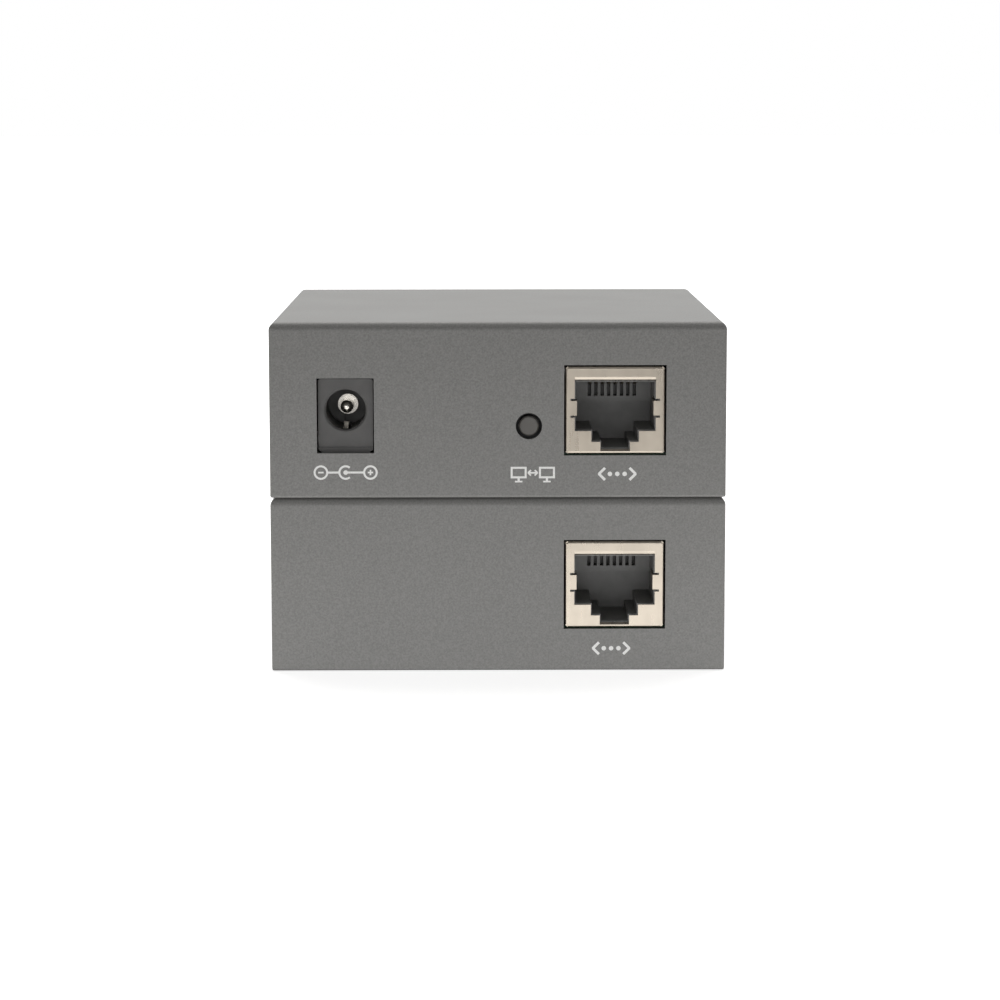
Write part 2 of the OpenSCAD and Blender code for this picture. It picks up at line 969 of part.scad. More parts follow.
module button_cut() {
    at_front(button_x)
        round_wall_cut(button_r + button_hole_gap, button_rise);
}

// Video socket, in its own place

// Inner outline of the socket: wide above, drawn in at the lower corners
video_loop = [
    [-video_low_w / 2, video_rise], [video_low_w / 2, video_rise],
    [video_w / 2, video_rise + video_h - video_side_h], [video_w / 2, video_rise + video_h],
    [-video_w / 2, video_rise + video_h], [-video_w / 2, video_rise + video_h - video_side_h]];

module video_shell() {
    difference() {
        union() {
            along_y(video_d)
                polygon(grown(video_loop, video_skin));
            along_y(video_flare_d)
                polygon(grown(video_loop, video_skin + video_flare));
        }
        translate([0, -overrun, 0])
            along_y(video_d + 2 * overrun)
                polygon(video_loop);
        both_sides()
            difference() {
                block(video_window_w, video_window_l, video_skin + 2 * overrun,
                    x = video_window_x, y = video_window_y, z = video_rise + video_h - overrun);
                block(video_leaf_w, video_leaf_l, video_skin + 4 * overrun, x = video_window_x,
                    y = video_window_y + video_window_l - video_leaf_l,
                    z = video_rise + video_h - 2 * overrun);
            }
    }
    both_sides()
        for (y = [video_leg_front, video_leg_back])
            block(video_skin, video_leg_w, board_t + tail_drop + video_rise + video_h,
                x = (video_w + video_skin) / 2, y = y, z = -board_t - tail_drop);
}

function video_wire_path(z) =
    let (back = video_d + video_wire_out)
    [[video_wire_front, z], [back, z], [back, video_wire_t / 2],
        [back + video_foot_l, video_wire_t / 2]];

module video_wire_set(t, w) {
    lift = (tongue_t - video_wire_t) / 2 + video_wire_proud;
    for (i = [0:video_wires - 1])
        translate([(i - (video_wires - 1) / 2) * video_pitch, 0, 0])
            strip(video_wire_path(video_mid + lift), t, w);
    for (i = [0:video_wires - 2])
        translate([(i - (video_wires - 2) / 2) * video_pitch, 0, 0])
            strip(video_wire_path(video_mid - lift), t, w);
}

module video_contacts() {
    video_wire_set(video_wire_t, video_wire_w);
}

module video_insert() {
    difference() {
        union() {
            block(tongue_w, tongue_root - tongue_front + snug, tongue_t, y = tongue_front,
                z = video_mid - tongue_t / 2);
            translate([0, tongue_root, 0])
                along_y(video_d - tongue_root)
                    polygon(grown(video_loop, -snug));
        }
        video_wire_set(video_wire_t + 2 * snug, video_wire_w + 2 * snug);
    }
}

module video_cut(x) {
    height = video_h + 2 * (video_skin + video_flare);
    at_rear(x)
        wall_cut(video_full_w, height, video_rise - video_skin - video_flare);
}

// Remote-control socket, in its own place

module remote_body() {
    difference() {
        union() {
            rod(remote_nose_r, remote_nose_d + snug, z = remote_rise);
            block(remote_w, remote_d - remote_nose_d, remote_h, y = remote_nose_d);
        }
        rod(remote_bore_r, remote_bore_d + overrun, y = -overrun, z = remote_rise);
        both_sides()
            block(remote_window_w, remote_window_l, remote_window_h,
                x = (remote_w - remote_window_w) / 2 + snug, y = remote_window_y,
                z = remote_rise - remote_window_h / 2);
    }
}

// Leaf springs that reach into the plug's hole from both sides
module remote_springs() {
    outer = remote_w / 2 + remote_leaf_t / 2 + snug;
    inner = remote_bore_r - remote_leaf_in;
    both_sides() {
        translate([0, 0, remote_rise - remote_leaf_h / 2])
            linear_extrude(remote_leaf_h)
                polygon(strip_outline([
                    [outer, remote_window_y + remote_window_l - remote_leaf_t],
                    [outer, remote_window_y + remote_leaf_t * 2],
                    [outer - remote_leaf_t, remote_window_y + remote_leaf_t * 2],
                    [inner, remote_window_y + remote_window_l / 2],
                    [inner + remote_leaf_t, remote_window_y + remote_window_l - 2 * remote_leaf_t]],
                    remote_leaf_t));
        block(remote_leaf_t, remote_tail_w, remote_rise + board_t + tail_drop, x = outer,
            y = remote_window_y + remote_window_l - remote_leaf_t - remote_tail_w,
            z = -board_t - tail_drop);
    }
}

module remote_cut() {
    at_rear(remote_x)
        round_wall_cut(remote_nose_r + port_gap, remote_rise);
}

// Indicator lamps, both in the first lamp's own place

module each_lamp() {
    for (i = [0, 1])
        at_rear(lamp_x - i * lamp_pitch)
            children();
}

module lamp() {
    translate([0, lamp_r, lamp_rise])
        sphere(lamp_r);
    rod(lamp_r, lamp_l - lamp_r, y = lamp_r, z = lamp_rise);
    rod(lamp_collar_r, lamp_collar_t, y = lamp_l - lamp_collar_t, z = lamp_rise);
}

module lamp_leads() {
    both_sides()
        translate([lamp_lead_x, 0, 0])
            strip([[lamp_l + snug, lamp_rise], [lamp_l + lamp_lead_l, lamp_rise],
                [lamp_l + lamp_lead_l, -board_t - tail_drop]], lamp_lead_w, lamp_lead_w);
}

module lamp_cuts() {
    each_lamp()
        round_wall_cut(lamp_r + port_gap, lamp_rise);
}

// Circuit board

// What passes through the board under the network socket, in the socket's own place
module net_board_holes() {
    for (i = [0:net_wires - 1])
        block(wire_w + 2 * pin_gap, wire_t + 2 * pin_gap, board_t + 2 * overrun,
            x = (i - (net_wires - 1) / 2) * net_pitch,
            y = wire_tail_y + (i % 2) * wire_tail_step - wire_t / 2 - pin_gap,
            z = -board_t - overrun);
    both_sides() {
        block(net_skin + 2 * pin_gap, net_peg_w + 2 * pin_gap, board_t + 2 * overrun,
            x = (net_w - net_skin) / 2, y = net_peg_y - pin_gap, z = -board_t - overrun);
        translate([net_post_x, net_post_y, -board_t - overrun])
            cylinder(r = net_post_r + hole_gap, h = board_t + 2 * overrun);
    }
}

module power_board_holes() {
    block(dc_tail_w + 2 * pin_gap, dc_tail_t + 2 * pin_gap, board_t + 2 * overrun,
        y = dc_d + snug - pin_gap, z = -board_t - overrun);
    block(dc_leaf_w + 2 * pin_gap, dc_leaf_t + 2 * pin_gap, board_t + 2 * overrun,
        y = dc_leaf_back - dc_leaf_t / 2 - pin_gap, z = -board_t - overrun);
}

module switch_board_holes() {
    both_sides() {
        block(cover_t + 2 * pin_gap, switch_leg_w + 2 * pin_gap, board_t + 2 * overrun,
            x = (switch_w + cover_t) / 2, y = switch_front + (switch_d + cover_t) / 2 - pin_gap,
            z = -board_t - overrun);
        block(switch_pin_w + 2 * pin_gap, cover_t + 2 * pin_gap, board_t + 2 * overrun,
            x = switch_pin_x, y = switch_front + switch_d - pin_gap, z = -board_t - overrun);
    }
}

module video_board_holes() {
    both_sides()
        for (y = [video_leg_front, video_leg_back])
            block(video_skin + 2 * pin_gap, video_leg_w + 2 * pin_gap, board_t + 2 * overrun,
                x = (video_w + video_skin) / 2, y = y - pin_gap, z = -board_t - overrun);
}

module remote_board_holes() {
    both_sides()
        block(remote_leaf_t + 2 * pin_gap, remote_tail_w + 2 * pin_gap, board_t + 2 * overrun,
            x = remote_w / 2 + remote_leaf_t / 2 + snug,
            y = remote_window_y + remote_window_l - remote_leaf_t - remote_tail_w - pin_gap,
            z = -board_t - overrun);
}

module lamp_board_holes() {
    both_sides()
        block(lamp_lead_w + 2 * pin_gap, lamp_lead_w + 2 * pin_gap, board_t + 2 * overrun,
            x = lamp_lead_x, y = lamp_l + lamp_lead_l - lamp_lead_w / 2 - pin_gap,
            z = -board_t - overrun);
}

// The bare board. Its children are the holes of one box's own parts.
module circuit_board() {
    difference() {
        translate([0, 0, board_bottom])
            linear_extrude(board_t)
                round_plan(board_w, board_d, board_corner_r);
        four_places(pillar_x, pillar_y)
            translate([0, 0, board_bottom - overrun])
                cylinder(r = screw_r + hole_gap, h = board_t + 2 * overrun);
        at_network()
            net_board_holes();
        at_rear(video_x)
            video_board_holes();
        at_rear(remote_x)
            remote_board_holes();
        each_lamp()
            lamp_board_holes();
        children();
    }
}

// Parts on the circuit board

module on_board(x, y) {
    translate([x, y, board_top])
        children();
}

module main_chip() {
    on_board(0, chip_y)
        difference() {
            block(chip_w, chip_w, chip_t, y = -chip_w / 2);
            translate([chip_mark_inset - chip_w / 2, chip_mark_inset - chip_w / 2,
                chip_t - chip_mark_deep])
                cylinder(r = chip_mark_r, h = chip_mark_deep + overrun);
        }
}

module thermal_pad() {
    on_board(0, chip_y)
        block(pad_w, pad_w, pad_t, y = -pad_w / 2, z = chip_t);
}

module heat_sink() {
    gap = (sink_w - sink_fins * sink_fin_t) / (sink_fins - 1);
    on_board(0, chip_y)
        translate([0, 0, chip_t + pad_t])
            difference() {
                block(sink_w, sink_w, sink_h, y = -sink_w / 2);
                for (i = [0:sink_fins - 2])
                    translate([-sink_w / 2 + sink_fin_t + i * (sink_fin_t + gap),
                        -sink_w / 2 - overrun, sink_base_t])
                        cube([gap, sink_w + 2 * overrun, sink_h]);
            }
}

// The line transformer behind the network socket, with gull-wing leads
module transformer() {
    on_board(network_x, front_in + seat_gap + net_d + coil_behind) {
        difference() {
            block(coil_w, coil_d, coil_h - coil_foot, z = coil_foot);
            block(coil_w - 4 * coil_ridge, coil_d - 4 * coil_ridge, coil_ridge + overrun,
                y = 2 * coil_ridge, z = coil_h - coil_ridge);
        }
        for (i = [0:coil_leads - 1])
            translate([(i - (coil_leads - 1) / 2) * coil_pitch, coil_d / 2, 0])
                for (end = [0, 1])
                    mirror([0, end, 0])
                        strip([[coil_d / 2 - coil_ridge, coil_lead_z],
                            [coil_d / 2 + coil_lead_out / 2, coil_lead_z],
                            [coil_d / 2 + coil_lead_out / 2, coil_lead_t / 2],
                            [coil_d / 2 + coil_lead_out + coil_lead_t, coil_lead_t / 2]],
                            coil_lead_t, coil_lead_w);
    }
}

module capacitors() {
    for (i = [0, 1])
        on_board(can_x, front_in + can_inset + i * can_step) {
            block(can_base_w, can_base_w, can_base_h, y = -can_base_w / 2);
            difference() {
                cylinder(r = can_r, h = can_h);
                translate([0, 0, can_groove_z])
                    difference() {
                        cylinder(r = can_r + overrun, h = 2 * can_groove);
                        cylinder(r = can_r - can_groove, h = 2 * can_groove);
                    }
            }
        }
}

// Coils wound in square ferrite pots
module inductors() {
    for (i = [0, 1])
        on_board(choke_x, choke_y + i * choke_step) {
            difference() {
                block(choke_w, choke_w, choke_h, y = -choke_w / 2);
                translate([0, 0, choke_gap])
                    cylinder(r = choke_r + choke_gap, h = choke_h);
            }
            cylinder(r = choke_r, h = choke_h);
        }
}

module crystal() {
    on_board(crystal_x, crystal_y) {
        case_w = crystal_w - crystal_foot;
        translate([0, 0, crystal_foot])
            linear_extrude(crystal_h)
                round_plan(case_w, crystal_l - crystal_foot, case_w / 2 - crystal_foot);
        linear_extrude(crystal_foot)
            round_plan(crystal_w, crystal_l, crystal_w / 2 - crystal_foot_w);
    }
}

// A memory chip, a controller chip and rows of chip capacitors
module small_parts() {
    on_board(ram_x, ram_y)
        block(ram_w, ram_w, ram_t, y = -ram_w / 2);
    on_board(flash_x, flash_y)
        block(flash_w, flash_l, ram_t, y = -flash_l / 2);
    for (i = [0:beads_in_row - 1], row = [0:bead_rows - 1])
        on_board(bead_x + i * bead_step, bead_y + row * bead_step)
            block(bead_l, bead_w, bead_h, y = -bead_w / 2);
}

// One box's own cuts

module common_cuts() {
    network_cut();
    video_cut(video_x);
    remote_cut();
    lamp_cuts();
}

// Nodes of the receiver

module rx_shell() {
    color(paint)
        level(0)
            case_shell()
                common_cuts();
}

module rx_base_plate() {
    color(steel)
        level(0)
            base_plate();
}

module rx_case_screws() {
    color(steel)
        level(0)
            four_places(tab_x, tab_y)
                case_screw();
}

module rx_pillars() {
    color(steel)
        level(0)
            four_places(pillar_x, pillar_y)
                pillar();
}

module rx_board_screws() {
    color(steel)
        level(0)
            four_places(pillar_x, pillar_y)
                board_screw();
}

module rx_circuit_board() {
    color(board_green)
        level(0)
            circuit_board();
}

module rx_network_shield() {
    color(tin)
        level(0)
            at_network()
                network_shield();
}

module rx_network_insert() {
    color(black)
        level(0)
            at_network()
                network_insert();
}

module rx_network_contacts() {
    color(gold)
        level(0)
            at_network()
                network_contacts();
}

module rx_video_shell() {
    color(steel)
        level(0)
            at_rear(video_x)
                video_shell();
}

module rx_video_insert() {
    color(black)
        level(0)
            at_rear(video_x)
                video_insert();
}

module rx_video_contacts() {
    color(gold)
        level(0)
            at_rear(video_x)
                video_contacts();
}

module rx_remote_body() {
    color(black)
        level(0)
            at_rear(remote_x)
                remote_body();
}

module rx_remote_springs() {
    color(steel)
        level(0)
            at_rear(remote_x)
                remote_springs();
}

module rx_lamps() {
    color([0.75, 0.9, 0.75])
        level(0)
            each_lamp()
                lamp();
}

module rx_lamp_leads() {
    color(steel)
        level(0)
            each_lamp()
                lamp_leads();
}

module rx_main_chip() {
    color(black)
        level(0)
            main_chip();
}

module rx_thermal_pad() {
    color([0.75, 0.78, 0.8])
        level(0)
            thermal_pad();
}

module rx_heat_sink() {
    color(aluminium)
        level(0)
            heat_sink();
}

module rx_transformer() {
    color(black)
        level(0)
            transformer();
}

module rx_capacitors() {
    color(aluminium)
        level(0)
            capacitors();
}

module rx_inductors() {
    color(grey_plastic)
        level(0)
            inductors();
}

module rx_crystal() {
    color(steel)
        level(0)
            crystal();
}

module rx_small_parts() {
    color(black)
        level(0)
            small_parts();
}

// Nodes of the transmitter

module tx_shell() {
    color(paint)
        level(1)
            case_shell() {
                common_cuts();
                power_cut();
                button_cut();
                video_cut(loop_x);
            }
}

module tx_base_plate() {
    color(steel)
        level(1)
            base_plate();
}

module tx_case_screws() {
    color(steel)
        level(1)
            four_places(tab_x, tab_y)
                case_screw();
}

module tx_pillars() {
    color(steel)
        level(1)
            four_places(pillar_x, pillar_y)
                pillar();
}

module tx_board_screws() {
    color(steel)
        level(1)
            four_places(pillar_x, pillar_y)
                board_screw();
}

module tx_circuit_board() {
    color(board_green)
        level(1)
            circuit_board() {
                at_front(power_x)
                    power_board_holes();
                at_front(button_x)
                    switch_board_holes();
                at_rear(loop_x)
                    video_board_holes();
            }
}

module tx_network_shield() {
    color(tin)
        level(1)
            at_network()
                network_shield();
}

module tx_network_insert() {
    color(black)
        level(1)
            at_network()
                network_insert();
}

module tx_network_contacts() {
    color(gold)
        level(1)
            at_network()
                network_contacts();
}

module tx_power_housing() {
    color(grey_plastic)
        level(1)
            at_front(power_x)
                power_housing();
}

module tx_power_pin() {
    color(steel)
        level(1)
            at_front(power_x)
                power_pin();
}

module tx_power_spring() {
    color(steel)
        level(1)
            at_front(power_x)
                power_spring();
}

module tx_switch_body() {
    color(black)
        level(1)
            at_front(button_x)
                switch_body();
}

module tx_switch_cover() {
    color(steel)
        level(1)
            at_front(button_x)
                switch_cover();
}

module tx_switch_dome() {
    color(steel)
        level(1)
            at_front(button_x)
                switch_dome();
}

module tx_button() {
    color(grey_plastic)
        level(1)
            at_front(button_x)
                set_button();
}

module tx_video_shell() {
    color(steel)
        level(1)
            at_rear(video_x)
                video_shell();
}

module tx_video_insert() {
    color(black)
        level(1)
            at_rear(video_x)
                video_insert();
}

module tx_video_contacts() {
    color(gold)
        level(1)
            at_rear(video_x)
                video_contacts();
}

module tx_loop_shell() {
    color(steel)
        level(1)
            at_rear(loop_x)
                video_shell();
}

module tx_loop_insert() {
    color(black)
        level(1)
            at_rear(loop_x)
                video_insert();
}

module tx_loop_contacts() {
    color(gold)
        level(1)
            at_rear(loop_x)
                video_contacts();
}

module tx_remote_body() {
    color(black)
        level(1)
            at_rear(remote_x)
                remote_body();
}

module tx_remote_springs() {
    color(steel)
        level(1)
            at_rear(remote_x)
                remote_springs();
}

module tx_lamps() {
    color([0.75, 0.9, 0.75])
        level(1)
            each_lamp()
                lamp();
}

module tx_lamp_leads() {
    color(steel)
        level(1)
            each_lamp()
                lamp_leads();
}

module tx_main_chip() {
    color(black)
        level(1)
            main_chip();
}

module tx_thermal_pad() {
    color([0.75, 0.78, 0.8])
        level(1)
            thermal_pad();
}

module tx_heat_sink() {
    color(aluminium)
        level(1)
            heat_sink();
}

module tx_transformer() {
    color(black)
        level(1)
            transformer();
}

module tx_capacitors() {
    color(aluminium)
        level(1)
            capacitors();
}

module tx_inductors() {
    color(grey_plastic)
        level(1)
            inductors();
}

module tx_crystal() {
    color(steel)
        level(1)
            crystal();
}

module tx_small_parts() {
    color(black)
        level(1)
            small_parts();
}

rx_shell();
rx_base_plate();
rx_case_screws();
rx_pillars();
rx_board_screws();
rx_circuit_board();
rx_network_shield();
rx_network_insert();
rx_network_contacts();
rx_video_shell();
rx_video_insert();
rx_video_contacts();
rx_remote_body();
rx_remote_springs();
rx_lamps();
rx_lamp_leads();
rx_main_chip();
rx_thermal_pad();
rx_heat_sink();
rx_transformer();
rx_capacitors();
rx_inductors();
rx_crystal();
rx_small_parts();
tx_shell();
tx_base_plate();
tx_case_screws();
tx_pillars();
tx_board_screws();
tx_circuit_board();
tx_network_shield();
tx_network_insert();
tx_network_contacts();
tx_power_housing();
tx_power_pin();
tx_power_spring();
tx_switch_body();
tx_switch_cover();
tx_switch_dome();
tx_button();
tx_video_shell();
tx_video_insert();
tx_video_contacts();
tx_loop_shell();
tx_loop_insert();
tx_loop_contacts();
tx_remote_body();
tx_remote_springs();
tx_lamps();
tx_lamp_leads();
tx_main_chip();
tx_thermal_pad();
tx_heat_sink();
tx_transformer();
tx_capacitors();
tx_inductors();
tx_crystal();
tx_small_parts();
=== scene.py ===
"""Looks for a stacked pair of folded steel boxes: powder coat, plated sockets, printed marks."""

import math

import bpy
from mathutils import Matrix, Vector


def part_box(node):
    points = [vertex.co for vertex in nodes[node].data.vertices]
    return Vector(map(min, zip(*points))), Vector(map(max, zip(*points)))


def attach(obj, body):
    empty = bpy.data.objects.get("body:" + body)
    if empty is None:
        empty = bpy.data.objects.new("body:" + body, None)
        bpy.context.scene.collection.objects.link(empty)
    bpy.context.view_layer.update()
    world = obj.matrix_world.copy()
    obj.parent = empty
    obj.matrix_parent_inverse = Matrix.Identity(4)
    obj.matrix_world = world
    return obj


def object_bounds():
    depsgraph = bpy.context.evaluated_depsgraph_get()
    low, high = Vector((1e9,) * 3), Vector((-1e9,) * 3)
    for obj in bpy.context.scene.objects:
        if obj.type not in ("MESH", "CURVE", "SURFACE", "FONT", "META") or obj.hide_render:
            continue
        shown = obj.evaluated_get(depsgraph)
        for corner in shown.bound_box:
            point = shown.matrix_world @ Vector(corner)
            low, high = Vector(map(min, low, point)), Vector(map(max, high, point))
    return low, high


MM = 0.001
MICRON = 0.000001
WHITE = (1.0, 1.0, 1.0)
UNSTRETCHED = (1.0, 1.0, 1.0)

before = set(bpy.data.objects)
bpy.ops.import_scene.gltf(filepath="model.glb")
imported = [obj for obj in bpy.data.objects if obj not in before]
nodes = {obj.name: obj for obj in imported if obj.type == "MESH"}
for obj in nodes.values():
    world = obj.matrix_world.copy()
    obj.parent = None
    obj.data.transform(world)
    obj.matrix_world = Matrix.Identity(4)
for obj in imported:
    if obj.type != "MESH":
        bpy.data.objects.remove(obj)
solid_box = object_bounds()


# Shader helpers

def start_finish(name, color, roughness, metallic=0.0):
    """A new material with its colour, roughness and metal set on the shader itself."""
    finish = bpy.data.materials.new(name)
    finish.use_nodes = True
    shader = finish.node_tree.nodes["Principled BSDF"]
    shader.inputs["Base Color"].default_value = (*color, 1.0)
    shader.inputs["Roughness"].default_value = roughness
    shader.inputs["Metallic"].default_value = metallic
    return finish, shader


def grain(finish, scale, detail=2.0, stretch=UNSTRETCHED, roughness=0.5):
    """Noise on the piece's own coordinates; scale is in grains a metre."""
    tree = finish.node_tree
    place = tree.nodes.new("ShaderNodeTexCoord")
    mapping = tree.nodes.new("ShaderNodeMapping")
    mapping.inputs["Scale"].default_value = stretch
    noise = tree.nodes.new("ShaderNodeTexNoise")
    noise.inputs["Scale"].default_value = scale
    noise.inputs["Detail"].default_value = detail
    noise.inputs["Roughness"].default_value = roughness
    tree.links.new(place.outputs["Object"], mapping.inputs["Vector"])
    tree.links.new(mapping.outputs["Vector"], noise.inputs["Vector"])
    return noise.outputs["Fac"]


def spread(finish, value, low, high, start=0.3, end=0.7):
    """Maps a grain onto a range of numbers."""
    tree = finish.node_tree
    node = tree.nodes.new("ShaderNodeMapRange")
    node.inputs["From Min"].default_value = start
    node.inputs["From Max"].default_value = end
    node.inputs["To Min"].default_value = low
    node.inputs["To Max"].default_value = high
    tree.links.new(value, node.inputs["Value"])
    return node.outputs["Result"]


def shades(finish, value, dark, light, start=0.3, end=0.7):
    """Maps a grain onto colours between two."""
    tree = finish.node_tree
    ramp = tree.nodes.new("ShaderNodeValToRGB")
    ramp.color_ramp.elements[0].position = start
    ramp.color_ramp.elements[0].color = (*dark, 1.0)
    ramp.color_ramp.elements[1].position = end
    ramp.color_ramp.elements[1].color = (*light, 1.0)
    tree.links.new(value, ramp.inputs["Fac"])
    return ramp.outputs["Color"]


def relief(finish, shader, heights, depth, strength=1.0):
    """Bumps the surface by a grain, depth in metres."""
    tree = finish.node_tree
    bump = tree.nodes.new("ShaderNodeBump")
    bump.inputs["Distance"].default_value = depth
    bump.inputs["Strength"].default_value = strength
    tree.links.new(heights, bump.inputs["Height"])
    before = shader.inputs["Normal"].links
    if before:
        tree.links.new(before[0].from_socket, bump.inputs["Normal"])
    tree.links.new(bump.outputs["Normal"], shader.inputs["Normal"])


def tinted(color, share):
    """The same colour, darker or lighter by a share."""
    return tuple(min(1.0, c * share) for c in color)


# Finishes

def powder_coat(name, color):
    """Baked grey powder: a soft orange peel, a fine speckle and a slight drift of gloss."""
    finish, shader = start_finish(name, color, 0.46)
    link = finish.node_tree.links
    speckle = grain(finish, 4200, 2.5, roughness=0.65)
    peel = grain(finish, 1300)
    drift = grain(finish, 60, 1.0)
    link.new(shades(finish, speckle, tinted(color, 0.80), tinted(color, 1.2)),
             shader.inputs["Base Color"])
    link.new(spread(finish, drift, 0.445, 0.475), shader.inputs["Roughness"])
    relief(finish, shader, peel, 30 * MICRON, 0.35)
    relief(finish, shader, speckle, 12 * MICRON, 0.4)
    return finish


def rolled_metal(name, color, roughness, stretch=UNSTRETCHED, dents=3 * MICRON):
    """Plated sheet with faint rolling lines, long where stretch is small, and uneven brightness."""
    finish, shader = start_finish(name, color, roughness, 1.0)
    link = finish.node_tree.links
    lines = grain(finish, 900, 2.0, stretch)
    patches = grain(finish, 240)
    link.new(shades(finish, patches, tinted(color, 0.92), tinted(color, 1.05)),
             shader.inputs["Base Color"])
    link.new(spread(finish, lines, roughness - 0.05, roughness + 0.06, 0.2, 0.8),
             shader.inputs["Roughness"])
    relief(finish, shader, lines, dents, 0.4)
    return finish


def moulded_plastic(name, color, roughness, scale=4500, depth=10 * MICRON):
    """Moulded plastic with a fine spark-eroded grain."""
    finish, shader = start_finish(name, color, roughness)
    link = finish.node_tree.links
    fine = grain(finish, scale, 3.0, roughness=0.6)
    clouds = grain(finish, 260)
    link.new(shades(finish, clouds, tinted(color, 0.85), tinted(color, 1.15)),
             shader.inputs["Base Color"])
    link.new(spread(finish, fine, roughness - 0.07, roughness + 0.09),
             shader.inputs["Roughness"])
    relief(finish, shader, fine, depth, 0.5)
    return finish


def board_lacquer(name, color):
    """Green lacquer over copper tracks and glass cloth."""
    finish, shader = start_finish(name, color, 0.32)
    tree = finish.node_tree
    place = tree.nodes.new("ShaderNodeTexCoord")
    bricks = tree.nodes.new("ShaderNodeTexBrick")
    bricks.inputs["Scale"].default_value = 260
    bricks.inputs["Mortar Size"].default_value = 0.03
    bricks.inputs["Color1"].default_value = (*color, 1.0)
    bricks.inputs["Color2"].default_value = (*tinted(color, 1.25), 1.0)
    bricks.inputs["Mortar"].default_value = (*tinted(color, 0.6), 1.0)
    tree.links.new(place.outputs["Object"], bricks.inputs["Vector"])
    tree.links.new(bricks.outputs["Color"], shader.inputs["Base Color"])
    weave = grain(finish, 1800, 2.0, (1.0, 0.25, 1.0))
    relief(finish, shader, weave, 10 * MICRON, 0.4)
    return finish


def lamp_resin(name, color):
    """Milky clear resin of an indicator lamp."""
    finish, shader = start_finish(name, color, 0.18)
    link = finish.node_tree.links
    clouds = grain(finish, 700)
    link.new(shades(finish, clouds, tinted(color, 0.9), tinted(color, 1.08)),
             shader.inputs["Base Color"])
    shader.inputs["Transmission Weight"].default_value = 0.45
    shader.inputs["IOR"].default_value = 1.5
    shader.inputs["Coat Weight"].default_value = 0.3
    return finish


def ink(name, color):
    """Screen-printed ink, a little thin in places."""
    finish, shader = start_finish(name, color, 0.55)
    link = finish.node_tree.links
    cover = grain(finish, 6500, 3.0, roughness=0.7)
    link.new(shades(finish, cover, tinted(color, 0.8), tinted(color, 1.05), 0.2, 0.55),
             shader.inputs["Base Color"])
    relief(finish, shader, cover, 10 * MICRON, 0.4)
    return finish


grey_coat = powder_coat("grey powder coat", (0.180, 0.178, 0.171))
plate_coat = powder_coat("base plate powder coat", (0.166, 0.164, 0.158))
can_metal = rolled_metal("nickel plated can", (0.42, 0.374, 0.314), 0.29, (1.0, 1.0, 0.12),
                         0.6 * MICRON)
pin_metal = rolled_metal("bright pin plating", (0.72, 0.69, 0.64), 0.24)
tin_metal = rolled_metal("tin plated spring", (0.72, 0.70, 0.66), 0.36)
shell_metal = rolled_metal("nickel plated video shell", (0.56, 0.54, 0.50), 0.34)
# Painted shade: the network contact wires are gold flashed, but their colour is darkened to stand
# in for the shade deep inside the socket.
shade_darkened_wire = rolled_metal("contact wire darkened as painted shade", (0.34, 0.31, 0.25), 0.42, (1.0, 0.2, 1.0))
gold_metal = rolled_metal("gold flashed contact", (0.83, 0.62, 0.30), 0.3)
zinc_metal = rolled_metal("zinc plated screw", (0.58, 0.58, 0.57), 0.36)
drawn_aluminium = rolled_metal("drawn aluminium", (0.78, 0.79, 0.80), 0.34)
sink_aluminium = rolled_metal("extruded aluminium", (0.70, 0.71, 0.72), 0.42, (1.0, 0.08, 1.0))
socket_black = moulded_plastic("socket insert plastic", (0.155, 0.154, 0.150), 0.42)
blackened_metal = rolled_metal("blackened switch cover", (0.050, 0.050, 0.050), 0.5)
video_black = moulded_plastic("video socket plastic", (0.022, 0.022, 0.023), 0.45)
jack_grey = moulded_plastic("power socket plastic", (0.080, 0.078, 0.076), 0.5)
cap_grey = moulded_plastic("button plastic", (0.085, 0.080, 0.073), 0.42)
chip_black = moulded_plastic("chip resin", (0.020, 0.020, 0.021), 0.5)
ferrite_grey = moulded_plastic("pressed ferrite", (0.045, 0.044, 0.043), 0.62, 2600, 20 * MICRON)
pad_grey = moulded_plastic("thermal pad", (0.30, 0.33, 0.38), 0.75, 2200, 20 * MICRON)
green_lacquer = board_lacquer("green board lacquer", (0.020, 0.100, 0.045))
milky_resin = lamp_resin("milky lamp resin", (0.62, 0.72, 0.62))
mark_ink = ink("off-white printing ink", (0.78, 0.775, 0.76))

# The finish of each node, by its name without the box's tx_ or rx_
FINISH_OF = {
    "shell": grey_coat, "base_plate": plate_coat, "case_screws": zinc_metal,
    "pillars": zinc_metal, "board_screws": zinc_metal, "circuit_board": green_lacquer,
    "network_shield": can_metal, "network_insert": socket_black,
    "network_contacts": shade_darkened_wire, "video_shell": shell_metal, "video_insert": video_black,
    "video_contacts": gold_metal, "loop_shell": shell_metal, "loop_insert": video_black,
    "loop_contacts": gold_metal, "remote_body": video_black, "remote_springs": tin_metal,
    "lamps": milky_resin, "lamp_leads": tin_metal, "main_chip": chip_black,
    "thermal_pad": pad_grey, "heat_sink": sink_aluminium, "transformer": chip_black,
    "capacitors": drawn_aluminium, "inductors": ferrite_grey, "crystal": drawn_aluminium,
    "small_parts": chip_black, "power_housing": jack_grey, "power_pin": pin_metal,
    "power_spring": tin_metal, "switch_body": video_black, "switch_cover": blackened_metal,
    "switch_dome": tin_metal, "button": cap_grey,
}

for name, solid in nodes.items():
    finish = FINISH_OF[name[3:]]
    solid.data.materials.clear()
    solid.data.materials.append(finish)


# Printed marks

FACE_Y = solid_box[0][1]
REAR_Y = solid_box[1][1]
UNIT_H = solid_box[1][2] / 2
INK_T = 0.02 * MM
LINE = 0.32 * MM
THIN_LINE = LINE * 0.8
BOLD_LINE = LINE * 1.3
DOT_R = 0.36 * MM
SLANT = math.radians(45)


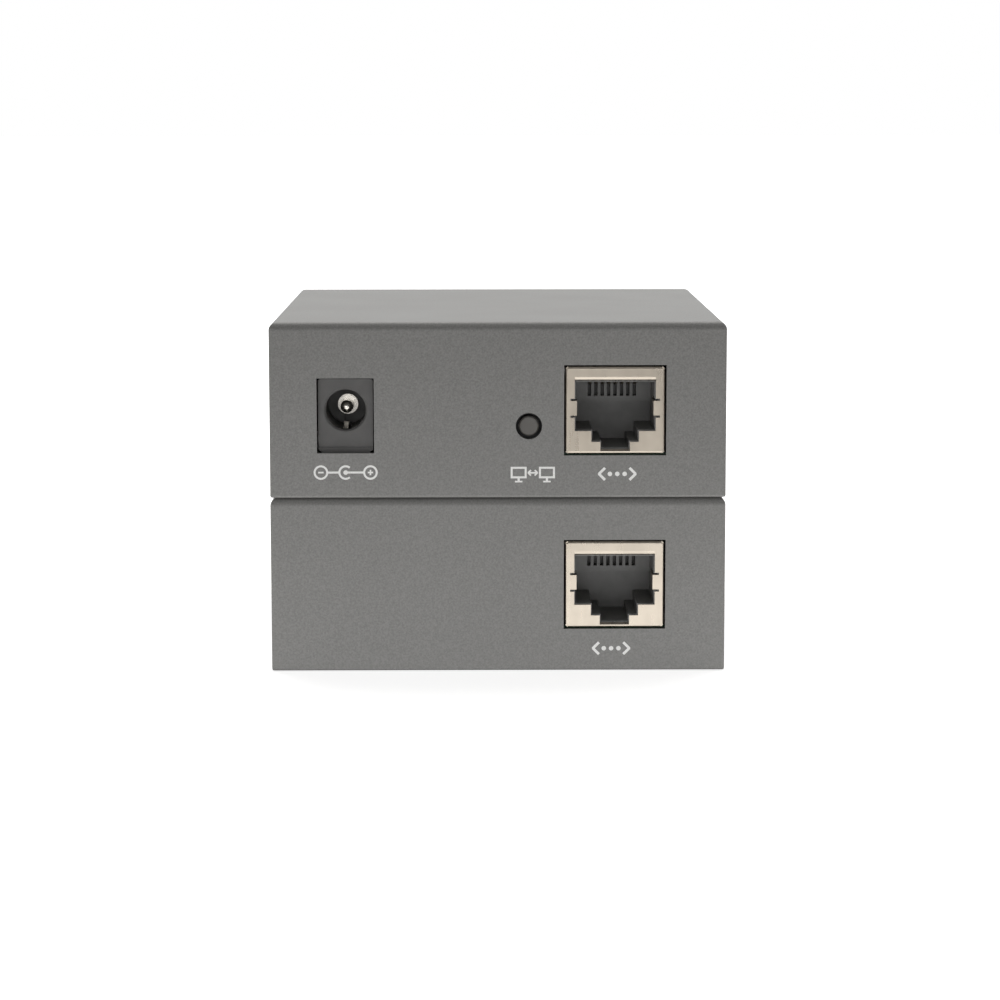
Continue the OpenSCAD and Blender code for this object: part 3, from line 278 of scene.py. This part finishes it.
def deselect():
    """Leaves edit mode and selects nothing, so that the next step acts on its own piece."""
    if bpy.context.object and bpy.context.object.mode != "OBJECT":
        bpy.ops.object.mode_set(mode="OBJECT")
    bpy.ops.object.select_all(action="DESELECT")


def settle(piece, name):
    """Applies the piece's place to its mesh and names it."""
    deselect()
    piece.select_set(True)
    bpy.context.view_layer.objects.active = piece
    bpy.ops.object.transform_apply(location=True, rotation=True, scale=True)
    piece.name = name
    piece.data.name = name


def print_bar(x, z, w, h, turn=0.0):
    """One printed stroke: a thin block on the front wall, turned about its middle."""
    deselect()
    bpy.ops.mesh.primitive_cube_add(size=1.0, location=(x, FACE_Y - INK_T / 2, z),
                                    rotation=(0.0, turn, 0.0))
    bar = bpy.context.object
    bar.scale = (w, INK_T, h)
    settle(bar, "stroke")
    return bar


def print_disc(x, z, r=DOT_R):
    """A printed dot."""
    deselect()
    bpy.ops.mesh.primitive_cylinder_add(vertices=32, radius=r, depth=INK_T,
                                        location=(x, FACE_Y - INK_T / 2, z),
                                        rotation=(math.pi / 2, 0.0, 0.0))
    disc = bpy.context.object
    settle(disc, "dot")
    return disc


def print_ring(x, z, r, start=0.0, end=360.0, steps=40):
    """A printed ring, or part of one from start to end in degrees: the line's end, spun."""
    deselect()
    bpy.ops.mesh.primitive_plane_add(size=1.0, location=(0.0, 0.0, 0.0))
    ring = bpy.context.object
    begin = math.radians(start)
    out = Vector((math.cos(begin), 0.0, math.sin(begin)))
    middle = Vector((x, FACE_Y - INK_T / 2, z))
    corners = [(-1, -1), (1, -1), (-1, 1), (1, 1)]
    for vertex, (across, deep) in zip(ring.data.vertices, corners):
        vertex.co = middle + out * (r + across * LINE / 2) + Vector((0.0, deep * INK_T / 2, 0.0))
    bpy.ops.object.mode_set(mode="EDIT")
    bpy.ops.mesh.select_all(action="SELECT")
    bpy.ops.mesh.spin(steps=steps, angle=math.radians(end - start), center=middle,
                      axis=(0.0, 1.0, 0.0))
    bpy.ops.mesh.select_all(action="SELECT")
    if end - start >= 360.0:
        bpy.ops.mesh.remove_doubles(threshold=MICRON)
        bpy.ops.mesh.delete_loose()
        bpy.ops.mesh.select_all(action="DESELECT")
        bpy.ops.mesh.select_interior_faces()
        bpy.ops.mesh.delete(type="FACE")
        bpy.ops.mesh.select_all(action="SELECT")
    bpy.ops.mesh.normals_make_consistent(inside=False)
    bpy.ops.object.mode_set(mode="OBJECT")
    settle(ring, "ring")
    return ring


def lay_flat(stroke):
    """Sets every corner exactly on the wall or on the ink's face."""
    for corner in stroke.data.vertices:
        corner.co.y = FACE_Y if corner.co.y > FACE_Y - INK_T / 2 else FACE_Y - INK_T


def print_mark(name, strokes, body, rear=False):
    """Runs strokes together into one printed mark that rides on its box, in front or behind."""
    for stroke in strokes:
        lay_flat(stroke)
    mark = strokes[0]
    deselect()
    mark.select_set(True)
    bpy.context.view_layer.objects.active = mark
    for stroke in strokes[1:]:
        run = mark.modifiers.new("run_together", "BOOLEAN")
        run.operation = "UNION"
        run.solver = "EXACT"
        run.object = stroke
        bpy.ops.object.modifier_apply(modifier=run.name)
        bpy.data.objects.remove(stroke)
    bpy.ops.object.mode_set(mode="EDIT")
    bpy.ops.mesh.select_all(action="SELECT")
    bpy.ops.mesh.remove_doubles(threshold=2 * MICRON)
    bpy.ops.mesh.dissolve_degenerate(threshold=2 * MICRON)
    bpy.ops.object.mode_set(mode="OBJECT")
    if rear:
        mark.location = (0.0, REAR_Y - FACE_Y + INK_T, 0.0)
    settle(mark, name)
    mark.data.materials.clear()
    mark.data.materials.append(mark_ink)
    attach(mark, body)


def polarity_mark(name, x, z, body):
    """Minus ring, cup with a dot, plus ring: how a barrel plug is wired."""
    r = 0.98 * MM
    far = 3.85 * MM
    sign = 0.85 * MM
    strokes = [
        print_ring(x - far, z, r), print_ring(x + far, z, r),
        print_bar(x - far, z, sign, THIN_LINE), print_bar(x + far, z, sign, THIN_LINE),
        print_bar(x + far, z, THIN_LINE, sign),
        print_ring(x, z, r, 50.0, 310.0), print_disc(x, z),
        print_bar(x - far / 2, z, far - 2 * r, LINE),
        print_bar(x + (far - r) / 2, z, far - r, LINE),
    ]
    print_mark(name, strokes, body)


def screen_strokes(x, z):
    """A small screen's frame on its stem and foot."""
    w, h = 2.5 * MM, 1.5 * MM
    low = z - 0.22 * MM
    return [
        print_bar(x, low + h / 2 + LINE / 2, w, LINE),
        print_bar(x, low - h / 2 + LINE / 2, w, LINE),
        print_bar(x - w / 2 + LINE / 2, low + LINE / 2, LINE, h),
        print_bar(x + w / 2 - LINE / 2, low + LINE / 2, LINE, h),
        print_bar(x, low - h / 2 - LINE * 0.6, LINE * 1.1, LINE * 1.4),
        print_bar(x, low - h / 2 - LINE * 1.6, LINE * 3.6, THIN_LINE),
    ]


def arrow_head(x, z, side, rise, length, line):
    """Two slanted strokes about x that meet in a point: to the left for side -1, else right."""
    return [print_bar(x, z + turn * rise, length, line, turn * side * SLANT)
            for turn in (-1, 1)]


def screens_mark(name, x, z, body):
    """Two screens joined by a double arrow: what the button matches."""
    far = 2.2 * MM
    arrow_z = z + 0.2 * MM
    strokes = screen_strokes(x - far, z + 0.3 * MM) + screen_strokes(x + far, z + 0.3 * MM)
    strokes.append(print_bar(x, arrow_z, 1.2 * MM, THIN_LINE))
    for side in (-1, 1):
        strokes += arrow_head(x + side * 0.52 * MM, arrow_z, side, 0.2 * MM, 0.6375 * MM,
                              THIN_LINE)
    print_mark(name, strokes, body)


def network_mark(name, x, z, body):
    """Two chevrons with three dots between: a network lead goes here."""
    strokes = []
    for side in (-1, 1):
        strokes += arrow_head(x + side * 2.4 * MM, z, side, 0.45 * MM, 1.4 * MM, BOLD_LINE)
    for step in (-1, 0, 1):
        strokes.append(print_disc(x + step * 1.15 * MM, z))
    print_mark(name, strokes, body)


def video_mark(name, x, z, body, to_screen):
    """A screen and an arrow: the picture goes to it or comes from it."""
    way = 1 if to_screen else -1
    middle = x - 1.6 * MM
    strokes = screen_strokes(x + 1.5 * MM, z + 0.1 * MM)
    strokes.append(print_bar(middle, z, 1.9 * MM, LINE))
    strokes += arrow_head(middle + way * 0.62 * MM, z, way, 0.27 * MM, 0.95 * MM, LINE)
    print_mark(name, strokes, body, rear=True)


def remote_mark(name, x, z, body):
    """A dot that sends out waves: the remote control's eye goes here."""
    eye_x = x - 1.0 * MM
    strokes = [print_disc(eye_x, z)]
    for r in (0.95, 1.65, 2.35):
        strokes.append(print_ring(eye_x, z, r * MM, -38.0, 38.0, 14))
    print_mark(name, strokes, body, rear=True)


def power_mark(name, x, z, body):
    """A ring open at the top round a short stroke, over the power lamp."""
    r = 0.85 * MM
    strokes = [print_ring(x, z, r, 127.0, 413.0), print_bar(x, z + r * 0.75, LINE, 0.95 * MM)]
    print_mark(name, strokes, body, rear=True)


def link_mark(name, x, z, body):
    """Two dots joined by a line, over the lamp that shows the lead is live."""
    far = 1.05 * MM
    end_r = 0.42 * MM
    strokes = [print_bar(x, z, 2 * far, LINE), print_disc(x - far, z, end_r),
               print_disc(x + far, z, end_r)]
    print_mark(name, strokes, body, rear=True)


def middle_x(name):
    """The place of a node's middle from side to side."""
    solid = nodes[name]
    across = [(solid.matrix_world @ vertex.co).x for vertex in solid.data.vertices]
    return (min(across) + max(across)) / 2


# Front marks, under their sockets and the button
MARK_Z = 3.8 * MM
polarity_mark("tx_power_mark", middle_x("tx_power_housing"), UNIT_H + MARK_Z + 0.2 * MM,
              "transmitter")
screens_mark("tx_button_mark", middle_x("tx_button") + 0.6 * MM, UNIT_H + MARK_Z - 0.1 * MM,
             "transmitter")
network_mark("tx_network_mark", middle_x("tx_network_shield") + 0.35 * MM,
             UNIT_H + MARK_Z - 0.1 * MM, "transmitter")
network_mark("rx_network_mark", middle_x("rx_network_shield") - 0.5 * MM, MARK_Z - 0.3 * MM,
             "receiver")

# Rear marks, over their sockets and lamps
REAR_MARK_Z = 15.2 * MM
for prefix, body, base in (("rx_", "receiver", 0.0), ("tx_", "transmitter", UNIT_H)):
    row_z = base + REAR_MARK_Z
    video_mark(prefix + "video_mark", middle_x(prefix + "video_shell"), row_z, body,
               to_screen=prefix == "rx_")
    remote_mark(prefix + "remote_mark", middle_x(prefix + "remote_body"), row_z, body)
    lamp_low, lamp_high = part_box(prefix + "lamps")
    lamp_r = (lamp_high[2] - lamp_low[2]) / 2
    power_mark(prefix + "power_lamp_mark", lamp_low[0] + lamp_r, row_z, body)
    link_mark(prefix + "link_lamp_mark", lamp_high[0] - lamp_r, row_z, body)
video_mark("tx_loop_mark", middle_x("tx_loop_shell"), UNIT_H + REAR_MARK_Z, "transmitter",
           to_screen=True)


# Floor, world, lamps and camera

def ray_kind_switch(tree):
    """One where the camera, a reflection or a see-through ray looks, else zero."""
    rays = tree.nodes.new("ShaderNodeLightPath")
    first = tree.nodes.new("ShaderNodeMath")
    first.operation = "MAXIMUM"
    tree.links.new(rays.outputs["Is Camera Ray"], first.inputs[0])
    tree.links.new(rays.outputs["Is Glossy Ray"], first.inputs[1])
    second = tree.nodes.new("ShaderNodeMath")
    second.operation = "MAXIMUM"
    tree.links.new(first.outputs[0], second.inputs[0])
    tree.links.new(rays.outputs["Is Transmission Ray"], second.inputs[1])
    return second.outputs[0]


def glow_with_distance(tree):
    """Paper white far from the object; nearer, room for the object's shadow."""
    place = tree.nodes.new("ShaderNodeTexCoord")
    distance = tree.nodes.new("ShaderNodeVectorMath")
    distance.operation = "LENGTH"
    tree.links.new(place.outputs["Object"], distance.inputs[0])
    glow = tree.nodes.new("ShaderNodeMapRange")
    glow.inputs["From Min"].default_value = 0.13
    glow.inputs["From Max"].default_value = 0.23
    glow.inputs["To Min"].default_value = 0.72
    glow.inputs["To Max"].default_value = 1.0
    tree.links.new(distance.outputs["Value"], glow.inputs["Value"])
    return glow.outputs["Result"]


def lay_floor():
    """White paper just under the object, which catches its shadow."""
    deselect()
    bpy.ops.mesh.primitive_plane_add(size=12.0, location=(0.0, 0.0, -0.02 * MM))
    floor = bpy.context.object
    settle(floor, "studio_floor")
    paper = bpy.data.materials.new("white studio paper")
    paper.use_nodes = True
    tree = paper.node_tree
    shader = tree.nodes["Principled BSDF"]
    shader.inputs["Base Color"].default_value = (0.86, 0.86, 0.86, 1.0)
    shader.inputs["Roughness"].default_value = 0.9
    shader.inputs["Emission Color"].default_value = (*WHITE, 1.0)
    lift = tree.nodes.new("ShaderNodeMath")
    lift.operation = "MULTIPLY"
    tree.links.new(glow_with_distance(tree), lift.inputs[1])
    tree.links.new(ray_kind_switch(tree), lift.inputs[0])
    tree.links.new(lift.outputs[0], shader.inputs["Emission Strength"])
    floor.data.materials.append(paper)


def stand_card(name, place, size, turn, shade):
    """A plain card beside the set that only the object sees, never the camera."""
    deselect()
    bpy.ops.mesh.primitive_plane_add(size=1.0, location=place, rotation=(turn, 0.0, 0.0))
    card = bpy.context.object
    card.scale = (size[0], size[1], 1.0)
    settle(card, name)
    board = bpy.data.materials.new(name + " board")
    board.use_nodes = True
    shader = board.node_tree.nodes["Principled BSDF"]
    shader.inputs["Base Color"].default_value = (shade, shade, shade, 1.0)
    shader.inputs["Roughness"].default_value = 0.9
    card.data.materials.append(board)
    card.visible_camera = False


def light_world():
    """A dim even light on the object, and white for the camera and for reflections."""
    world = bpy.data.worlds.new("studio")
    world.use_nodes = True
    bpy.context.scene.world = world
    tree = world.node_tree
    sky = tree.nodes["Background"]
    sky.inputs["Color"].default_value = (*WHITE, 1.0)
    level = tree.nodes.new("ShaderNodeMapRange")
    level.inputs["To Min"].default_value = 0.30
    level.inputs["To Max"].default_value = 1.0
    tree.links.new(ray_kind_switch(tree), level.inputs["Value"])
    tree.links.new(level.outputs["Result"], sky.inputs["Strength"])


def hang_lamp(name, place, aim, size, power, color=WHITE):
    """A soft box of a size in metres at a place, turned to what it aims at."""
    lamp = bpy.data.lights.new(name, "AREA")
    lamp.shape = "RECTANGLE"
    lamp.size, lamp.size_y = size
    lamp.energy = power
    lamp.color = color
    holder = bpy.data.objects.new(name, lamp)
    bpy.context.collection.objects.link(holder)
    holder.location = place
    holder.visible_camera = False
    holder.rotation_euler = (Vector(aim) - Vector(place)).to_track_quat("-Z", "Y").to_euler()


def set_camera():
    """Stands the camera where the corners of both boxes fall as in the photograph."""
    camera = bpy.data.cameras.new("photo_camera")
    camera.sensor_width = 36.0
    camera.lens = 98.39
    camera.shift_y = -0.06
    camera.clip_start = 0.01
    camera.clip_end = 50.0
    holder = bpy.data.objects.new("photo_camera", camera)
    bpy.context.collection.objects.link(holder)
    pitch, yaw, roll = (math.radians(a) for a in (7.127, 0.451, -0.055))
    ahead = Vector((math.sin(yaw) * math.cos(pitch), math.cos(yaw) * math.cos(pitch),
                    -math.sin(pitch)))
    level_right = Vector((math.cos(yaw), -math.sin(yaw), 0.0))
    level_up = level_right.cross(ahead)
    right = level_right * math.cos(roll) + level_up * math.sin(roll)
    up = level_up * math.cos(roll) - level_right * math.sin(roll)
    turn = Matrix((right, up, -ahead)).transposed().to_4x4()
    holder.matrix_world = Matrix.Translation(Vector((-3.0125, -458.78, 89.126)) * MM) @ turn
    bpy.context.scene.camera = holder


lay_floor()
light_world()
stand_card("room_wall", (0.0, -1.7, 1.1), (5.0, 2.2), math.pi / 2, 0.10)
stand_card("room_floor", (0.0, -0.97, 0.0004), (5.0, 1.46), 0.0, 0.26)
hang_lamp("back_top_softbox", (0.05, 0.55, 0.95), (0.0, 0.0, 0.03), (1.3, 0.8), 8.7,
          (1.0, 0.982, 0.95))
hang_lamp("front_low_softbox", (-0.15, -1.3, 0.16), (0.0, 0.0, 0.02), (1.6, 0.25), 3.5)
hang_lamp("table_glow", (0.0, -0.0876, 0.00005), (0.0, -0.0876, 1.0), (0.30, 0.1), 0.090)
set_camera()
bpy.context.scene.view_settings.view_transform = "Standard"
